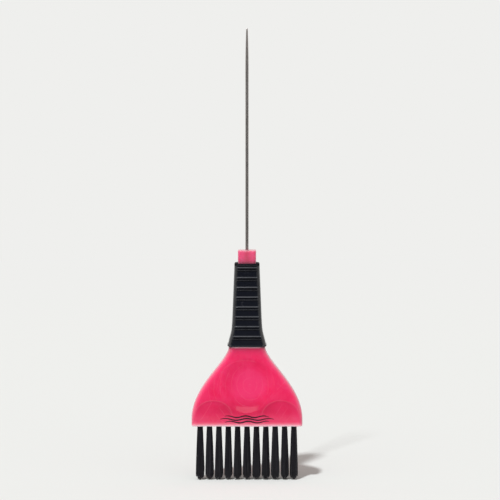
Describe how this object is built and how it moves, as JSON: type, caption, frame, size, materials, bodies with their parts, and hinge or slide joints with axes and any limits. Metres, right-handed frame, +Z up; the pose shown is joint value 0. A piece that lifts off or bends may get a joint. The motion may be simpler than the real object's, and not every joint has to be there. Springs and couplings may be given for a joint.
{
  "type": "tint brush",
  "caption": "Hair colour brush: wide flat head with rows of dark bristle tufts, thumb dishes, ribbed soft grip and a long thin steel pin tail for sectioning hair.",
  "frame": {"origin": "centre of the bristle tips, midway between the two rows of tufts", "axes": "+Z up the brush from the bristle tips to the point of the pin; +X across the head; -Y is the front face, +Y the back face"},
  "size_m": [0.0556, 0.0112, 0.2262],
  "materials": {
    "pink_plastic": "glossy, slightly translucent",
    "grip_rubber": "soft satin",
    "pin_steel": "drawn",
    "bristle_nylon": "filament bundle",
    "anchor_wire": "flat drawn wire"
  },
  "bodies": {
    "handle": {"handle_body": "pink_plastic", "grip_sleeve": "grip_rubber", "pin_tail": "pin_steel", "front_anchor_01": "anchor_wire", "front_anchor_02": "anchor_wire", "front_anchor_03": "anchor_wire", "front_anchor_04": "anchor_wire", "front_anchor_05": "anchor_wire", "front_anchor_06": "anchor_wire", "front_anchor_07": "anchor_wire", "front_anchor_08": "anchor_wire", "front_anchor_09": "anchor_wire", "front_anchor_10": "anchor_wire", "front_anchor_11": "anchor_wire", "back_anchor_01": "anchor_wire", "back_anchor_02": "anchor_wire", "back_anchor_03": "anchor_wire", "back_anchor_04": "anchor_wire", "back_anchor_05": "anchor_wire", "back_anchor_06": "anchor_wire", "back_anchor_07": "anchor_wire", "back_anchor_08": "anchor_wire", "back_anchor_09": "anchor_wire", "back_anchor_10": "anchor_wire", "back_anchor_11": "anchor_wire"},
    "front_bristles_01": {"front_tuft_01": "bristle_nylon"},
    "front_bristles_02": {"front_tuft_02": "bristle_nylon"},
    "front_bristles_03": {"front_tuft_03": "bristle_nylon"},
    "front_bristles_04": {"front_tuft_04": "bristle_nylon"},
    "front_bristles_05": {"front_tuft_05": "bristle_nylon"},
    "front_bristles_06": {"front_tuft_06": "bristle_nylon"},
    "front_bristles_07": {"front_tuft_07": "bristle_nylon"},
    "front_bristles_08": {"front_tuft_08": "bristle_nylon"},
    "front_bristles_09": {"front_tuft_09": "bristle_nylon"},
    "front_bristles_10": {"front_tuft_10": "bristle_nylon"},
    "front_bristles_11": {"front_tuft_11": "bristle_nylon"},
    "back_bristles_01": {"back_tuft_01": "bristle_nylon"},
    "back_bristles_02": {"back_tuft_02": "bristle_nylon"},
    "back_bristles_03": {"back_tuft_03": "bristle_nylon"},
    "back_bristles_04": {"back_tuft_04": "bristle_nylon"},
    "back_bristles_05": {"back_tuft_05": "bristle_nylon"},
    "back_bristles_06": {"back_tuft_06": "bristle_nylon"},
    "back_bristles_07": {"back_tuft_07": "bristle_nylon"},
    "back_bristles_08": {"back_tuft_08": "bristle_nylon"},
    "back_bristles_09": {"back_tuft_09": "bristle_nylon"},
    "back_bristles_10": {"back_tuft_10": "bristle_nylon"},
    "back_bristles_11": {"back_tuft_11": "bristle_nylon"}
  },
  "joints": [
    {"name": "front_bend_01", "type": "hinge", "parent": "handle", "child": "front_bristles_01", "pos_m": [-0.0235, -0.0019, 0.02685], "axis": [1, 0, 0], "range_deg": [-30, 30], "stiffness_Nm_per_rad": 0.002},
    {"name": "front_bend_02", "type": "hinge", "parent": "handle", "child": "front_bristles_02", "pos_m": [-0.0188, -0.0019, 0.02685], "axis": [1, 0, 0], "range_deg": [-30, 30], "stiffness_Nm_per_rad": 0.002},
    {"name": "front_bend_03", "type": "hinge", "parent": "handle", "child": "front_bristles_03", "pos_m": [-0.0141, -0.0019, 0.02685], "axis": [1, 0, 0], "range_deg": [-30, 30], "stiffness_Nm_per_rad": 0.002},
    {"name": "front_bend_04", "type": "hinge", "parent": "handle", "child": "front_bristles_04", "pos_m": [-0.0094, -0.0019, 0.02685], "axis": [1, 0, 0], "range_deg": [-30, 30], "stiffness_Nm_per_rad": 0.002},
    {"name": "front_bend_05", "type": "hinge", "parent": "handle", "child": "front_bristles_05", "pos_m": [-0.0047, -0.0019, 0.02685], "axis": [1, 0, 0], "range_deg": [-30, 30], "stiffness_Nm_per_rad": 0.002},
    {"name": "front_bend_06", "type": "hinge", "parent": "handle", "child": "front_bristles_06", "pos_m": [0, -0.0019, 0.02685], "axis": [1, 0, 0], "range_deg": [-30, 30], "stiffness_Nm_per_rad": 0.002},
    {"name": "front_bend_07", "type": "hinge", "parent": "handle", "child": "front_bristles_07", "pos_m": [0.0047, -0.0019, 0.02685], "axis": [1, 0, 0], "range_deg": [-30, 30], "stiffness_Nm_per_rad": 0.002},
    {"name": "front_bend_08", "type": "hinge", "parent": "handle", "child": "front_bristles_08", "pos_m": [0.0094, -0.0019, 0.02685], "axis": [1, 0, 0], "range_deg": [-30, 30], "stiffness_Nm_per_rad": 0.002},
    {"name": "front_bend_09", "type": "hinge", "parent": "handle", "child": "front_bristles_09", "pos_m": [0.0141, -0.0019, 0.02685], "axis": [1, 0, 0], "range_deg": [-30, 30], "stiffness_Nm_per_rad": 0.002},
    {"name": "front_bend_10", "type": "hinge", "parent": "handle", "child": "front_bristles_10", "pos_m": [0.0188, -0.0019, 0.02685], "axis": [1, 0, 0], "range_deg": [-30, 30], "stiffness_Nm_per_rad": 0.002},
    {"name": "front_bend_11", "type": "hinge", "parent": "handle", "child": "front_bristles_11", "pos_m": [0.0235, -0.0019, 0.02685], "axis": [1, 0, 0], "range_deg": [-30, 30], "stiffness_Nm_per_rad": 0.002},
    {"name": "back_bend_01", "type": "hinge", "parent": "handle", "child": "back_bristles_01", "pos_m": [-0.0235, 0.0019, 0.02685], "axis": [1, 0, 0], "range_deg": [-30, 30], "stiffness_Nm_per_rad": 0.002},
    {"name": "back_bend_02", "type": "hinge", "parent": "handle", "child": "back_bristles_02", "pos_m": [-0.0188, 0.0019, 0.02685], "axis": [1, 0, 0], "range_deg": [-30, 30], "stiffness_Nm_per_rad": 0.002},
    {"name": "back_bend_03", "type": "hinge", "parent": "handle", "child": "back_bristles_03", "pos_m": [-0.0141, 0.0019, 0.02685], "axis": [1, 0, 0], "range_deg": [-30, 30], "stiffness_Nm_per_rad": 0.002},
    {"name": "back_bend_04", "type": "hinge", "parent": "handle", "child": "back_bristles_04", "pos_m": [-0.0094, 0.0019, 0.02685], "axis": [1, 0, 0], "range_deg": [-30, 30], "stiffness_Nm_per_rad": 0.002},
    {"name": "back_bend_05", "type": "hinge", "parent": "handle", "child": "back_bristles_05", "pos_m": [-0.0047, 0.0019, 0.02685], "axis": [1, 0, 0], "range_deg": [-30, 30], "stiffness_Nm_per_rad": 0.002},
    {"name": "back_bend_06", "type": "hinge", "parent": "handle", "child": "back_bristles_06", "pos_m": [0, 0.0019, 0.02685], "axis": [1, 0, 0], "range_deg": [-30, 30], "stiffness_Nm_per_rad": 0.002},
    {"name": "back_bend_07", "type": "hinge", "parent": "handle", "child": "back_bristles_07", "pos_m": [0.0047, 0.0019, 0.02685], "axis": [1, 0, 0], "range_deg": [-30, 30], "stiffness_Nm_per_rad": 0.002},
    {"name": "back_bend_08", "type": "hinge", "parent": "handle", "child": "back_bristles_08", "pos_m": [0.0094, 0.0019, 0.02685], "axis": [1, 0, 0], "range_deg": [-30, 30], "stiffness_Nm_per_rad": 0.002},
    {"name": "back_bend_09", "type": "hinge", "parent": "handle", "child": "back_bristles_09", "pos_m": [0.0141, 0.0019, 0.02685], "axis": [1, 0, 0], "range_deg": [-30, 30], "stiffness_Nm_per_rad": 0.002},
    {"name": "back_bend_10", "type": "hinge", "parent": "handle", "child": "back_bristles_10", "pos_m": [0.0188, 0.0019, 0.02685], "axis": [1, 0, 0], "range_deg": [-30, 30], "stiffness_Nm_per_rad": 0.002},
    {"name": "back_bend_11", "type": "hinge", "parent": "handle", "child": "back_bristles_11", "pos_m": [0.0235, 0.0019, 0.02685], "axis": [1, 0, 0], "range_deg": [-30, 30], "stiffness_Nm_per_rad": 0.002}
  ],
  "couplings": [
    {"joint": "back_bend_01", "follows": "front_bend_01", "ratio": 1},
    {"joint": "back_bend_02", "follows": "front_bend_02", "ratio": 1},
    {"joint": "back_bend_03", "follows": "front_bend_03", "ratio": 1},
    {"joint": "back_bend_04", "follows": "front_bend_04", "ratio": 1},
    {"joint": "back_bend_05", "follows": "front_bend_05", "ratio": 1},
    {"joint": "back_bend_06", "follows": "front_bend_06", "ratio": 1},
    {"joint": "back_bend_07", "follows": "front_bend_07", "ratio": 1},
    {"joint": "back_bend_08", "follows": "front_bend_08", "ratio": 1},
    {"joint": "back_bend_09", "follows": "front_bend_09", "ratio": 1},
    {"joint": "back_bend_10", "follows": "front_bend_10", "ratio": 1},
    {"joint": "back_bend_11", "follows": "front_bend_11", "ratio": 1}
  ]
}
